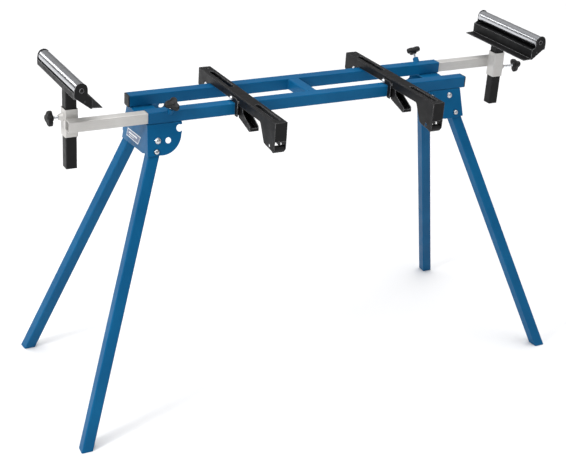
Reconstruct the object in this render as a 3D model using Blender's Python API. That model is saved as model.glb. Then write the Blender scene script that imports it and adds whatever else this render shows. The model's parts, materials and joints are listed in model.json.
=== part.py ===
"""Folding stand for a mitre saw: a tube frame on four folding legs, with two clamp-on saw brackets
and two pull-out arms that carry height-adjustable rollers. Metres, +Z up, feet on z = 0."""

import math

import bmesh
import bpy
from mathutils import Matrix, Vector

# ---------------------------------------------------------------- driving dimensions
GAP = 0.0003  # clearance between pieces that touch
SHEET = 0.0025  # folded sheet steel

# Rail frame: two square tubes side by side along X, joined by one cross member.
RAIL = 0.030
RAIL_WALL = 0.0015
RAIL_CORNER = 0.003
RAIL_HALF_LENGTH = 0.4525
RAIL_BOTTOM = 0.740
RAIL_TOP = RAIL_BOTTOM + RAIL
RAIL_OUTER_Y = 0.078
RAIL_INNER_Y = RAIL_OUTER_Y - RAIL
RAIL_MID_Y = (RAIL_OUTER_Y + RAIL_INNER_Y) / 2
RAIL_MID_Z = (RAIL_BOTTOM + RAIL_TOP) / 2
CAP_THICKNESS = 0.003

# Legs: square tubes that lie in two planes leaning outward, one each side of the frame.
LEAN = math.radians(15.0)
LEG = 0.028
LEG_WALL = 0.0015
LEG_CORNER = 0.003
LEG_TOP_RADIUS = 0.0132  # the leg's rounded upper end, about its pivot
PIVOT_BOLT_RADIUS = 0.004
BUTTON_RADIUS = 0.0062
LOW_PIVOT_DROP = 0.0395  # pivot's distance down the cheek, under the leg that folds first
HIGH_PIVOT_DROP = 0.0158
LOW_LOCK_REACH = 0.0265  # from the pivot to the lock button
HIGH_LOCK_REACH = 0.0506
LOW_LOCK_ANGLE = math.radians(12.0)  # from straight down the cheek, outward
LOW_FOLD_GAP = math.radians(10.5)  # below level, so that a folded low leg clears the high one
# name: (side in x, side in y, pivot x, angle from straight down the cheek, low pivot?)
LEGS = {
    "front_left": (-1, -1, -0.4312, 18.6, True),
    "rear_left": (-1, 1, -0.4038, 18.7, False),
    "rear_right": (1, 1, 0.4255, 16.9, True),
    "front_right": (1, -1, 0.4030, 20.9, False),
}

# Leg brackets: (x of the front fold, x of the rear fold, both at the top; lean of the end plate)
END_PLATES = {"left": (-0.4550, -0.4455, 0.060), "right": (0.4378, 0.4530, 0.115)}
BRACKET_TOP = RAIL_BOTTOM - GAP
CHEEK_DROP = 0.0760
END_PLATE_BOTTOM = 0.6563  # on the centre line
END_PLATE_SLOPE = 0.1125  # its lower edge rises towards the leg that folds first
TOP_PLATE_EDGE_X = 0.390
FOOT_NOTCH_TOP = 0.6675  # the end plate's corners are cut up to here, where a leg passes them
NOTCHED_LEGS = ("front_left", "rear_right", "front_right")

# Arms and posts.
ARM = 0.026
ARM_LENGTH = 0.500
ARM_TIP = {"left": 0.6460, "right": 0.6490}
SLEEVE = 0.032
SLEEVE_BOTTOM = 0.7215
SLEEVE_TOP = 0.7890
POST = 0.027
POST_BOTTOM = 0.6415
POST_TOP = 0.8420
HEIGHT_SCREW_Z = {"left": 0.768, "right": 0.744}
HEIGHT_KNOB_REACH = {"left": 0.027, "right": 0.0490}  # from the sleeve to the knob's near face

# Rollers.
ROLLER_RADIUS = 0.0155
ROLLER_HALF = 0.1297
ROLLER_OFFSET = 0.0075  # outward of the post
ROLLER_Z = 0.8625
HOLDER_HALF = 0.1325
HOLDER_SHEET = 0.002
HOLDER_SHIFT = {"left": -0.0030, "right": 0.0015}  # outward of its place over the post
AXLE_RADIUS = 0.004

# Three-lobed knobs.
KNOB_TIP = 0.020
KNOB_WAIST = 0.0116
KNOB_THICKNESS = 0.012
STUD_RADIUS = 0.003
HEIGHT_KNOB_TURN = {"left": math.radians(-16.0), "right": 0.0}
CLAMP_TILT = {"left": math.radians(30.0), "right": math.radians(42.0)}  # outward from vertical
CLAMP_KNOB_TURN = {"left": math.radians(57.0), "right": math.radians(70.0)}
CLAMP_X = {"left": -0.3970, "right": 0.3962}
CLAMP_KNOB_REACH = {"left": 0.018, "right": 0.025}  # from the rail's corner to the knob

# Saw brackets: channels across the frame, nose forward.
SAW_BRACKET_X = {"left": -0.2085, "right": 0.2268}
CHANNEL_HALF = 0.0165
CHANNEL_TOP = 0.791
CHANNEL_REAR = 0.145
CHANNEL_FRONT = -0.283
CHANNEL_UNDERSIDE = 0.7675
NOSE_BOTTOM = 0.718
SLOT_HALF = 0.0065
EAR_INNER = 0.0170
EAR_OUTER = 0.0195
LEVER_PIVOT = (-0.0905, 0.7765)
LEVER_HALF = 0.012
LEVER_SLOPE = math.radians(24.6)
LEVER_RIM = -0.0155  # how far the trough's rim lies below the pivot, across the lever
LEVER_TIP = 0.0755
CLAMP_BOLT = (-0.0580, 0.7765)
NOSE_BARREL = (-0.2725, 0.7228)

# The frame of reference sits at the centre of the whole object's footprint.
RIGHT_REACH = ARM_TIP["right"] + HEIGHT_KNOB_REACH["right"] + KNOB_THICKNESS

BLUE = ("blue_paint", (0.035, 0.16, 0.36), 0.35, 0.0)
BLACK = ("black_paint", (0.018, 0.018, 0.020), 0.45, 0.0)
SILVER = ("grey_paint", (0.62, 0.61, 0.58), 0.40, 0.6)
STEEL = ("roller_steel", (0.72, 0.73, 0.75), 0.22, 1.0)
ZINC = ("zinc", (0.75, 0.76, 0.78), 0.30, 1.0)
PLASTIC = ("black_plastic", (0.015, 0.015, 0.016), 0.55, 0.0)


# ---------------------------------------------------------------- building blocks
def clear_scene():
    for obj in list(bpy.data.objects):
        bpy.data.objects.remove(obj, do_unlink=True)


def material_for(finish):
    name, color, roughness, metallic = finish
    material = bpy.data.materials.new(name)
    material.use_nodes = True
    shader = material.node_tree.nodes["Principled BSDF"]
    shader.inputs["Base Color"].default_value = (*color, 1.0)
    shader.inputs["Roughness"].default_value = roughness
    shader.inputs["Metallic"].default_value = metallic
    return material


def empty(name, parent=None, matrix=None):
    obj = bpy.data.objects.new(name, None)
    bpy.context.scene.collection.objects.link(obj)
    obj.parent = parent
    obj.matrix_local = matrix or Matrix.Identity(4)
    return obj


def object_from(bm, name, parent, matrix=None, finish=None, smooth=False):
    """A finished bmesh as an object. A helper, such as a cutter, has no finish."""
    bmesh.ops.remove_doubles(bm, verts=bm.verts, dist=1e-6)
    bmesh.ops.recalc_face_normals(bm, faces=bm.faces)
    mesh = bpy.data.meshes.new(name)
    bm.to_mesh(mesh)
    bm.free()
    obj = bpy.data.objects.new(name, mesh)
    bpy.context.scene.collection.objects.link(obj)
    obj.parent = parent
    obj.matrix_local = matrix or Matrix.Identity(4)
    if finish:
        mesh.materials.append(material_for(finish))
    else:
        obj.hide_render = True
        obj.display_type = "WIRE"
    if smooth:
        mesh.shade_smooth()
        mesh.set_sharp_from_angle(angle=math.radians(35))
    return obj


def boolean(obj, other, operation="DIFFERENCE"):
    modifier = obj.modifiers.new(operation.lower(), "BOOLEAN")
    modifier.operation = operation
    modifier.solver = "EXACT"
    modifier.object = other
    return obj


def skin(rings, bm=None, closed_ends=True):
    """Joins rings of equally many points, in order, and caps the two ends."""
    bm = bm or bmesh.new()
    loops = [[bm.verts.new(point) for point in ring] for ring in rings]
    for low, high in zip(loops, loops[1:]):
        for i in range(len(low)):
            j = (i + 1) % len(low)
            bm.faces.new((low[i], low[j], high[j], high[i]))
    if closed_ends:
        bm.faces.new(loops[0][::-1])
        bm.faces.new(loops[-1])
    return bm


AXES = {"X": (1, 2, 0), "Y": (0, 2, 1), "Z": (0, 1, 2)}


def along(axis, a, b, c):
    """The point whose outline coordinates are a, b and whose place along the axis is c."""
    point = [0.0, 0.0, 0.0]
    first, second, third = AXES[axis]
    point[first], point[second], point[third] = a, b, c
    return Vector(point)


def prism(outline, axis, low, high):
    return skin([[along(axis, a, b, c) for a, b in outline] for c in (low, high)])


def box(x0, x1, y0, y1, z0, z1):
    return prism([(x0, y0), (x1, y0), (x1, y1), (x0, y1)], "Z", z0, z1)


def arc(center, radius, start, end, steps):
    """Points on an arc, angles in degrees."""
    angles = [math.radians(start + (end - start) * i / steps) for i in range(steps + 1)]
    return [(center[0] + radius * math.cos(a), center[1] + radius * math.sin(a)) for a in angles]


def rounded_square(half, radius, steps=3, face_steps=1):
    """A square outline with round corners. face_steps divides its flat sides."""
    points = []
    for turn in range(4):
        corner = arc((half - radius, half - radius), radius, 0, 90, steps)
        start = (half, radius - half)
        side = [(half, start[1] + (corner[0][1] - start[1]) * i / face_steps) for i in range(1, face_steps)]
        for a, b in side + corner:
            for _ in range(turn):
                a, b = -b, a
            points.append((a, b))
    return points


def square_tube(size, wall, corner, axis, low, high, center):
    """A square tube, open at both ends."""
    bm = bmesh.new()
    rings = []
    for half, radius in ((size / 2, corner), (size / 2 - wall, corner - wall)):
        outline = [(center[0] + a, center[1] + b) for a, b in rounded_square(half, radius)]
        for place in (low, high):
            rings.append([bm.verts.new(along(axis, a, b, place)) for a, b in outline])
    outer_low, outer_high, inner_low, inner_high = rings
    for first, second in (
        (outer_low, outer_high),
        (outer_high, inner_high),
        (inner_high, inner_low),
        (inner_low, outer_low),
    ):
        for i in range(len(first)):
            j = (i + 1) % len(first)
            bm.faces.new((first[i], first[j], second[j], second[i]))
    return bm


def turned(profile, axis, center, segments=24, phase=0.0):
    """A round solid from (radius, place along the axis) pairs, closed on the axis at both ends."""
    rings = []
    for radius, place in profile:
        ring = []
        for i in range(segments):
            angle = 2 * math.pi * i / segments + phase
            a = center[0] + radius * math.cos(angle)
            b = center[1] + radius * math.sin(angle)
            ring.append(along(axis, a, b, place))
        rings.append(ring)
    return skin(rings)


def hollow_turned(outer, inner, axis, center, segments=24):
    """A round solid with a bore right through it. Both profiles run along the axis the same way."""
    bm = bmesh.new()
    rings = []
    for radius, place in outer + inner[::-1]:
        angles = [2 * math.pi * i / segments for i in range(segments)]
        points = [
            along(axis, center[0] + radius * math.cos(t), center[1] + radius * math.sin(t), place)
            for t in angles
        ]
        rings.append([bm.verts.new(point) for point in points])
    for first, second in zip(rings, rings[1:] + rings[:1]):
        for i in range(segments):
            j = (i + 1) % segments
            bm.faces.new((first[i], first[j], second[j], second[i]))
    return bm


# ---------------------------------------------------------------- rail frame
def make_rail(name, side, capped_end, parent):
    """capped_end is -1 or 1: the end that holds a plug. The other end takes the arm."""
    ends = sorted((-capped_end * RAIL_HALF_LENGTH, capped_end * (RAIL_HALF_LENGTH - CAP_THICKNESS)))
    center = (side * RAIL_MID_Y, RAIL_MID_Z)
    bm = square_tube(RAIL, RAIL_WALL, RAIL_CORNER, "X", *ends, center)
    return object_from(bm, name, parent, finish=BLUE, smooth=True)


def make_rail_cap(name, side, end, parent):
    center_y = side * RAIL_MID_Y
    seat = RAIL_HALF_LENGTH - CAP_THICKNESS + GAP
    head = [(center_y + a, RAIL_MID_Z + b) for a, b in rounded_square(RAIL / 2, RAIL_CORNER)]
    plug_half = RAIL / 2 - RAIL_WALL - GAP
    plug = [(center_y + a, RAIL_MID_Z + b) for a, b in rounded_square(plug_half, RAIL_CORNER - RAIL_WALL)]
    places = (seat - 0.015, seat, seat, RAIL_HALF_LENGTH)
    outlines = (plug, plug, head, head)
    rings = [[along("X", a, b, end * x) for a, b in outline] for outline, x in zip(outlines, places)]
    return object_from(skin(rings), name, parent, finish=PLASTIC)


def make_cross_member(parent):
    reach = RAIL_INNER_Y - GAP
    bm = square_tube(RAIL - 0.001, RAIL_WALL, RAIL_CORNER, "Y", -reach, reach, (0.0, RAIL_MID_Z))
    return object_from(bm, "cross_member", parent, finish=BLUE, smooth=True)


# ---------------------------------------------------------------- leg planes
def cheek_normal(side_y):
    return Vector((0.0, side_y * math.cos(LEAN), math.sin(LEAN)))


def cheek_point(side_y, x, drop, out=0.0):
    """A point on a cheek's outer face, drop metres down its slope, moved out along its normal."""
    y = side_y * (RAIL_OUTER_Y + drop * math.sin(LEAN))
    z = RAIL_BOTTOM - drop * math.cos(LEAN)
    return Vector((x, y, z)) + cheek_normal(side_y) * out


def leg_data(name):
    """Where a leg turns, which way it points, how far it folds, and where its lock sits."""
    side_x, side_y, pivot_x, degrees, low = LEGS[name]
    angle = math.radians(degrees)
    drop = LOW_PIVOT_DROP if low else HIGH_PIVOT_DROP
    reach = LOW_LOCK_REACH if low else HIGH_LOCK_REACH
    lock_angle = LOW_LOCK_ANGLE if low else angle
    fold = math.pi / 2 + angle - (LOW_FOLD_GAP if low else 0.0)
    folded = lock_angle - fold
    return {
        "side_x": side_x,
        "side_y": side_y,
        "pivot": (pivot_x, drop),
        "angle": angle,
        "fold": fold,
        "reach": reach,
        "lock_angle": lock_angle,
        "lock": (pivot_x + side_x * reach * math.sin(lock_angle), drop + reach * math.cos(lock_angle)),
        "stow": (pivot_x + side_x * reach * math.sin(folded), drop + reach * math.cos(folded)),
    }


def leg_frame(name):
    """The leg's own axes: X across the tube, Y down the leg, Z out of the cheek, origin at the pivot."""
    data = leg_data(name)
    side_y = data["side_y"]
    slope = Vector((0.0, side_y * math.sin(LEAN), -math.cos(LEAN)))
    down = Vector((data["side_x"] * math.sin(data["angle"]), 0, 0)) + slope * math.cos(data["angle"])
    normal = cheek_normal(side_y)
    across = down.cross(normal)
    matrix = Matrix((across, down, normal)).transposed().to_4x4()
    matrix.translation = cheek_point(side_y, *data["pivot"])
    return matrix


# ---------------------------------------------------------------- leg brackets
def end_plate_x(side, y, z, inset=0.0):
    """x of the end plate's outer face at y, z, moved inward by inset."""
    front, rear, lean = END_PLATES[side]
    outward = math.copysign(1.0, front)
    skew = (rear - front) / (2 * RAIL_OUTER_Y)
    x = (front + rear) / 2 + skew * y + outward * lean * (RAIL_BOTTOM - z)
    return x - outward * inset


def bracket_hull(side, inset, top, inner_x, bottom):
    """The solid between the two cheek planes, the end plate and inner_x, all moved in by inset."""
    rings = []
    for z in (bottom, top):
        reach = RAIL_OUTER_Y + (RAIL_BOTTOM - z) * math.tan(LEAN) - inset / math.cos(LEAN)
        ring = []
        for y in (-reach, reach):
            ring.append(Vector((end_plate_x(side, y, z, inset), y, z)))
        ring.append(Vector((inner_x, reach, z)))
        ring.append(Vector((inner_x, -reach, z)))
        rings.append(ring)
    return skin(rings)


def low_cheek_cut(sign):
    """Outline, in x and drop, of what is cut away round a low-pivot cheek. sign is its side in x."""
    notch = arc((-0.3730, 0.0150), 0.0090, 50, 300, 10)
    rim = arc((-0.4216, 0.0236), 0.0520, 8, 95, 12)
    points = [(-0.3660, -0.02)] + [(-0.3660, 0.006)] + notch[::-1] + rim
    points += [(-0.4300, CHEEK_DROP), (-0.500, CHEEK_DROP), (-0.500, 0.140)]
    points += [(-0.300, 0.140), (-0.300, -0.02)]
    return [(-sign * x, drop) for x, drop in points]


def high_cheek_cut(sign):
    points = [(-0.3400, -0.02)]
    points += arc((-0.3880, 0.0290), 0.0480, 0, 90, 10)
    points += [(-0.500, 0.0770), (-0.500, 0.140), (-0.300, 0.140), (-0.300, -0.02)]
    return [(-sign * x, drop) for x, drop in points]


def cheek_prism(side_y, outline, low, high):
    """A prism through a cheek: the outline is in x and drop, low and high are along the normal."""
    return skin([[cheek_point(side_y, x, drop, out) for x, drop in outline] for out in (low, high)])


def make_leg_bracket(side, parent):
    """Folded sheet under the rails' end: a top plate, two leaning cheeks and an end plate."""
    sign = -1 if side == "left" else 1
    name = "leg_bracket_" + side
    outer = bracket_hull(side, 0.0, BRACKET_TOP, sign * 0.330, 0.640)
    bracket = object_from(outer, name, parent, finish=BLUE, smooth=True)
    inner = bracket_hull(side, SHEET, BRACKET_TOP - SHEET, sign * 0.300, 0.600)
    boolean(bracket, object_from(inner, name + "_inside", parent))

    for leg, (side_x, side_y, _, _, low) in LEGS.items():
        if side_x != sign:
            continue
        data = leg_data(leg)
        outline = low_cheek_cut(sign) if low else high_cheek_cut(sign)
        cutter = cheek_prism(side_y, outline, -0.0055, 0.010)
        boolean(bracket, object_from(cutter, f"{name}_{leg}_outline", parent))
        for feature, radius in (("pivot", PIVOT_BOLT_RADIUS + GAP), ("lock", 0.0072), ("stow", 0.0074)):
            hole = arc(data[feature], radius, 0, 360, 16)[:-1]
            cutter = cheek_prism(side_y, hole, -0.006, 0.006)
            boolean(bracket, object_from(cutter, f"{name}_{leg}_{feature}", parent))

    opening = box(*sorted((sign * TOP_PLATE_EDGE_X, sign * 0.300)), -0.0738, 0.0738, 0.600, 0.780)
    boolean(bracket, object_from(opening, name + "_top_edge", parent))
    for leg in NOTCHED_LEGS:
        side_x, side_y = LEGS[leg][:2]
        if side_x == sign:
            places = sorted((side_y * 0.062, side_y * 0.140))
            foot = box(*sorted((sign * 0.425, sign * 0.500)), *places, 0.600, FOOT_NOTCH_TOP)
            boolean(bracket, object_from(foot, f"{name}_notch_{leg}", parent))
    rise = sign * END_PLATE_SLOPE * 0.15
    skirt = [(-0.15, 0.600), (0.15, 0.600), (0.15, END_PLATE_BOTTOM + rise), (-0.15, END_PLATE_BOTTOM - rise)]
    ends = sorted((sign * 0.425, sign * 0.500))
    boolean(bracket, object_from(prism(skirt, "X", *ends), name + "_skirt", parent))
    return bracket


# ---------------------------------------------------------------- legs
def leg_rings(name):
    """Outer and inner outlines of a leg: round about the pivot on top, cut level at the floor."""
    frame = leg_frame(name)
    middle = -(SHEET + GAP + LEG / 2)
    rings = []
    for half, radius in ((LEG / 2, LEG_CORNER), (LEG / 2 - LEG_WALL, LEG_CORNER - LEG_WALL)):
        outline = rounded_square(half, radius, face_steps=4)
        top = []
        foot = []
        for across, out in outline:
            above = math.sqrt(max(LEG_TOP_RADIUS**2 - across**2, 0.0))
            start = Vector((across, -above, middle + out))
            top.append(start)
            world = frame @ start
            down = frame.to_3x3() @ Vector((0, 1, 0))
            foot.append(start + Vector((0, -world.z / down.z, 0)))
        rings += [top, foot]
    return rings


def make_leg(name, parent):
    outer_top, outer_foot, inner_top, inner_foot = leg_rings(name)
    bm = bmesh.new()
    loops = [[bm.verts.new(p) for p in ring] for ring in (outer_top, outer_foot, inner_foot, inner_top)]
    for first, second in zip(loops, loops[1:] + loops[:1]):
        for i in range(len(first)):
            j = (i + 1) % len(first)
            bm.faces.new((first[i], first[j], second[j], second[i]))
    bmesh.ops.triangulate(bm, faces=[face for face in bm.faces if face.calc_area() > 0])
    pivot = empty(f"leg_{name}_pivot", parent, leg_frame(name))
    leg = object_from(bm, f"leg_{name}", pivot, finish=BLUE, smooth=True)
    bore = turned([(PIVOT_BOLT_RADIUS + GAP, -0.05), (PIVOT_BOLT_RADIUS + GAP, 0.01)], "Z", (0, 0), 16, 0.1)
    boolean(leg, object_from(bore, f"leg_{name}_bore", pivot))
    data = leg_data(name)
    offset = (data["lock_angle"] - data["angle"]) * data["side_x"] * data["side_y"]
    lock = (data["reach"] * math.sin(offset), data["reach"] * math.cos(offset))
    window = turned([(BUTTON_RADIUS + GAP, -0.012), (BUTTON_RADIUS + GAP, 0.010)], "Z", lock, 20, 0.1)
    boolean(leg, object_from(window, f"leg_{name}_window", pivot))
    make_lock_button(name, lock, pivot)
    return leg


def make_lock_button(name, lock, pivot):
    """A snap button on its V spring: it looks out through the leg's wall and the cheek."""
    wall_inside = -(SHEET + GAP + LEG_WALL)
    back = -(SHEET + GAP + LEG - LEG_WALL)
    collar = wall_inside - GAP
    profile = [
        (0.0085, collar - 0.0030),
        (0.0085, collar),
        (BUTTON_RADIUS, collar),
        (BUTTON_RADIUS, 0.0012),
        (0.0052, 0.0028),
        (0.0030, 0.0036),
    ]
    seat = empty(f"lock_seat_{name}", pivot, Matrix.Translation((lock[0], lock[1], 0)))
    bm = turned(profile, "Z", (0, 0), 20)
    button = object_from(bm, f"lock_button_{name}", seat, finish=ZINC, smooth=True)
    strip = 0.0010
    top = collar - 0.0020
    spring_outline = [
        (-0.0060, top),
        (0.0060, top),
        (0.0440, top - 0.0110),
        (0.0452, top - 0.0118),
        (0.0440, top - 0.0126),
        (-0.0060, back + 0.0006 + strip),
        (-0.0060, back + 0.0006),
        (0.0440, top - 0.0126 - strip),
        (0.0464, top - 0.0118),
        (0.0440, top - 0.0110 + strip),
        (0.0060, top + strip),
        (-0.0060, top + strip),
    ]
    spring = object_from(prism(spring_outline, "X", -0.0045, 0.0045), f"lock_spring_{name}", seat)
    boolean(button, spring, "UNION")
    return button


def make_pivot_bolt(name, parent):
    """A round-headed bolt through the cheek and the leg, with its nut inside."""
    nut_face = -(SHEET + GAP + LEG) - GAP
    profile = [
        (0.0065, nut_face - 0.0050),
        (0.0065, nut_face),
        (PIVOT_BOLT_RADIUS, nut_face),
        (PIVOT_BOLT_RADIUS, GAP),
        (0.0074, GAP),
        (0.0074, 0.0020),
        (0.0060, 0.0036),
        (0.0032, 0.0044),
    ]
    pivot = empty(f"bolt_seat_{name}", parent, leg_frame(name))
    bm = turned(profile, "Z", (0, 0), 18)
    return object_from(bm, f"pivot_bolt_{name}", pivot, finish=ZINC, smooth=True)


# ---------------------------------------------------------------- knobs and their studs
def knob_outline(turn, count=30):
    """Three rounded lobes about the origin, one of them at the given turn."""
    points = []
    for i in range(count):
        angle = 2 * math.pi * i / count
        lobe = 0.5 + 0.5 * math.cos(3 * angle)
        radius = KNOB_WAIST + (KNOB_TIP - KNOB_WAIST) * lobe
        points.append((radius * math.cos(angle + turn), radius * math.sin(angle + turn)))
    return points


def make_knob(name, seat, near, stud_tip, turn):
    """A three-lobed knob on a threaded stud along the seat's Z. near is the knob's near face."""
    outline = knob_outline(turn)
    levels = ((0.90, near), (1.0, near + 0.0015), (1.0, near + 0.0095), (0.86, near + KNOB_THICKNESS))
    rings = [[Vector((a * k, b * k, z)) for a, b in outline] for k, z in levels]
    knob = object_from(skin(rings), "knob_" + name, seat, finish=PLASTIC, smooth=True)
    hub = turned([(0.0075, near - 0.0040), (0.0085, near + 0.0020)], "Z", (0, 0), 20)
    boolean(knob, object_from(hub, f"knob_{name}_hub", seat), "UNION")
    bore_radius = STUD_RADIUS + GAP / 2
    bore = turned([(bore_radius, near - 0.010), (bore_radius, near + 0.0080)], "Z", (0, 0), 16)
    boolean(knob, object_from(bore, f"knob_{name}_bore", seat))
    point = STUD_RADIUS - 0.0008
    profile = [(point, stud_tip), (STUD_RADIUS, stud_tip + 0.0008), (STUD_RADIUS, near + 0.0075)]
    return object_from(turned(profile, "Z", (0, 0), 14), "stud_" + name, seat, finish=ZINC, smooth=True)


def clamp_seat_matrix(side):
    """Z leans outward over the rail's top outer corner, which is the origin."""
    side_y = -1 if side == "left" else 1
    axis = Vector((0, side_y * math.sin(CLAMP_TILT[side]), math.cos(CLAMP_TILT[side])))
    across = Vector((1, 0, 0))
    matrix = Matrix((across, axis.cross(across), axis)).transposed().to_4x4()
    matrix.translation = (CLAMP_X[side], side_y * RAIL_OUTER_Y, RAIL_TOP)
    return matrix


def make_arm_clamp(side, rail, parent):
    """A weld nut on the rail's corner, and a knob whose stud presses on the arm inside."""
    matrix = clamp_seat_matrix(side)
    fixed = empty(f"clamp_nut_seat_{side}", parent, matrix)
    radius = STUD_RADIUS + GAP
    hole = turned([(radius, -0.008), (radius, 0.006)], "Z", (0, 0), 16)
    boolean(rail, object_from(hole, f"clamp_hole_{side}", fixed))
    body = turned([(0.0078, -0.006), (0.0078, 0.0090)], "Z", (0, 0), 20)
    nut = object_from(body, f"clamp_nut_{side}", fixed, finish=BLUE, smooth=True)
    side_y = -1 if side == "left" else 1
    x = CLAMP_X[side]
    edges = sorted((side_y * (RAIL_INNER_Y - 0.02), side_y * (RAIL_OUTER_Y + GAP)))
    rail_space = box(x - 0.02, x + 0.02, *edges, RAIL_BOTTOM - 0.01, RAIL_TOP + GAP)
    boolean(nut, object_from(rail_space, f"clamp_nut_{side}_seat", parent))
    bore = turned([(radius, -0.010), (radius, 0.020)], "Z", (0, 0), 16)
    boolean(nut, object_from(bore, f"clamp_nut_{side}_bore", fixed))
    turning = empty(f"arm_clamp_axis_{side}", parent, matrix)
    make_knob("arm_clamp_" + side, turning, CLAMP_KNOB_REACH[side], -0.0026, CLAMP_KNOB_TURN[side])


# ---------------------------------------------------------------- arms, posts and rollers
def make_arm(side, parent):
    """A pull-out arm with the post's sleeve welded to its tip, and the sleeve's screw boss."""
    sign = -1 if side == "left" else 1
    arm_y = sign * RAIL_MID_Y
    tip = sign * ARM_TIP[side]
    slide = empty("arm_slide_" + side, parent, Matrix.Translation((tip, arm_y, RAIL_MID_Z)))
    ends = sorted((0.0, -sign * ARM_LENGTH))
    bm = square_tube(ARM, RAIL_WALL, 0.0025, "X", *ends, (0.0, 0.0))
    object_from(bm, "arm_" + side, slide, finish=SILVER, smooth=True)

    sleeve_x = -sign * SLEEVE / 2
    sleeve_y = -sign * (ARM / 2 + GAP + SLEEVE / 2)
    places = (SLEEVE_BOTTOM - RAIL_MID_Z, SLEEVE_TOP - RAIL_MID_Z)
    bm = square_tube(SLEEVE, RAIL_WALL, 0.003, "Z", *places, (sleeve_x, sleeve_y))
    sleeve = object_from(bm, "sleeve_" + side, slide, finish=SILVER, smooth=True)

    screw_z = HEIGHT_SCREW_Z[side] - RAIL_MID_Z
    axis_matrix = Matrix.Translation((0, sleeve_y, screw_z)) @ Matrix.Rotation(sign * math.pi / 2, 4, "Y")
    screw = empty("height_screw_seat_" + side, slide, axis_matrix)
    radius = STUD_RADIUS + GAP
    hole = turned([(radius, -0.006), (radius, 0.010)], "Z", (0, 0), 16)
    boolean(sleeve, object_from(hole, f"height_hole_{side}", screw))
    cone = [(0.0105, GAP), (0.0062, 0.0110)]
    bm = hollow_turned(cone, [(radius, GAP), (radius, 0.0110)], "Z", (0, 0), 20)
    object_from(bm, "sleeve_boss_" + side, screw, finish=SILVER, smooth=True)
    turning = empty("height_knob_axis_" + side, slide, axis_matrix)
    stud_tip = -(RAIL_WALL + 0.0003)
    make_knob("height_" + side, turning, HEIGHT_KNOB_REACH[side], stud_tip, HEIGHT_KNOB_TURN[side])
    make_post(side, slide, sleeve_x, sleeve_y)


def holder_section(sign):
    """Folded section of the roller holder: a lip, the floor, a step and a flange to the inside."""
    t = HOLDER_SHEET
    floor = 0.8425
    step = -0.0173
    lip = 0.0252
    points = [
        (lip, floor),
        (lip, 0.8562),
        (lip - t, 0.8562),
        (lip - t, floor + t),
        (step, floor + t),
        (step, 0.8205),
        (-0.0415, 0.8190),
        (-0.0415, 0.8170),
        (step + t, 0.8185),
        (step + t, floor),
    ]
    return [(sign * u, z) for u, z in points]


def end_plate_outline(sign):
    """The holder's end: round over the roller, and straight edges down to the foot of its wall."""
    points = [(0.0252, 0.8470), (0.0252, 0.8590)]
    points += arc((0.0085, 0.8645), 0.0155, 5, 180, 12)
    points += [(-0.0070, 0.8500), (-0.0173, 0.8440), (-0.0173, 0.8175), (-0.0135, 0.8175)]
    return [(sign * u, z) for u, z in points]


def make_post(side, slide, sleeve_x, sleeve_y):
    sign = -1 if side == "left" else 1
    lift = empty("post_slide_" + side, slide, Matrix.Translation((sleeve_x, sleeve_y, 0)))
    places = (POST_BOTTOM - RAIL_MID_Z, POST_TOP - RAIL_MID_Z)
    bm = square_tube(POST, RAIL_WALL, 0.0025, "Z", *places, (0, 0))
    object_from(bm, "post_" + side, lift, finish=BLACK, smooth=True)

    # The roller lies across the frame's centre line, so it is offset from the post along Y.
    arm_y = sign * RAIL_MID_Y
    center_y = -(arm_y + sleeve_y)
    head_place = Matrix.Translation((sign * HOLDER_SHIFT[side], center_y, -RAIL_MID_Z))
    head = empty("roller_head_" + side, lift, head_place)
    body = prism(holder_section(sign), "Y", -HOLDER_HALF + 0.0005, HOLDER_HALF - 0.0005)
    holder = object_from(body, "roller_holder_" + side, head, finish=BLACK)
    for end in (-1, 1):
        faces = sorted((end * HOLDER_HALF, end * (HOLDER_HALF - HOLDER_SHEET)))
        plate = prism(end_plate_outline(sign), "Y", *faces)
        boolean(holder, object_from(plate, f"roller_holder_{side}_end_{end}", head), "UNION")
    center = (sign * ROLLER_OFFSET, ROLLER_Z)
    radius = AXLE_RADIUS + GAP
    bore = turned([(radius, -0.2), (radius, 0.2)], "Y", center, 16)
    boolean(holder, object_from(bore, f"roller_holder_{side}_bore", head))
    axle_half = HOLDER_HALF - 0.0002
    bm = turned([(AXLE_RADIUS, -axle_half), (AXLE_RADIUS, axle_half)], "Y", center, 16)
    object_from(bm, "roller_axle_" + side, head, finish=ZINC, smooth=True)
    make_roller(side, head, center)


def make_roller(side, head, center):
    """A steel tube on two plastic end bushes, spinning on the fixed axle."""
    spin = empty("roller_axis_" + side, head, Matrix.Translation((center[0], 0, center[1])))
    inner = ROLLER_RADIUS - 0.0015
    tube = hollow_turned(
        [(ROLLER_RADIUS, -ROLLER_HALF), (ROLLER_RADIUS, ROLLER_HALF)],
        [(inner, -ROLLER_HALF), (inner, ROLLER_HALF)],
        "Y",
        (0, 0),
        32,
    )
    object_from(tube, "roller_" + side, spin, finish=STEEL, smooth=True)
    bore = AXLE_RADIUS + GAP
    for label, end in (("front", -1), ("rear", 1)):
        outer = [(inner - GAP, end * (ROLLER_HALF - 0.018)), (inner - GAP, end * ROLLER_HALF)]
        hole = [(bore, end * (ROLLER_HALF - 0.018)), (bore, end * ROLLER_HALF)]
        bush = hollow_turned(outer, hole, "Y", (0, 0), 24)
        object_from(bush, f"roller_bush_{label}_{side}", spin, finish=PLASTIC, smooth=True)


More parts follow.
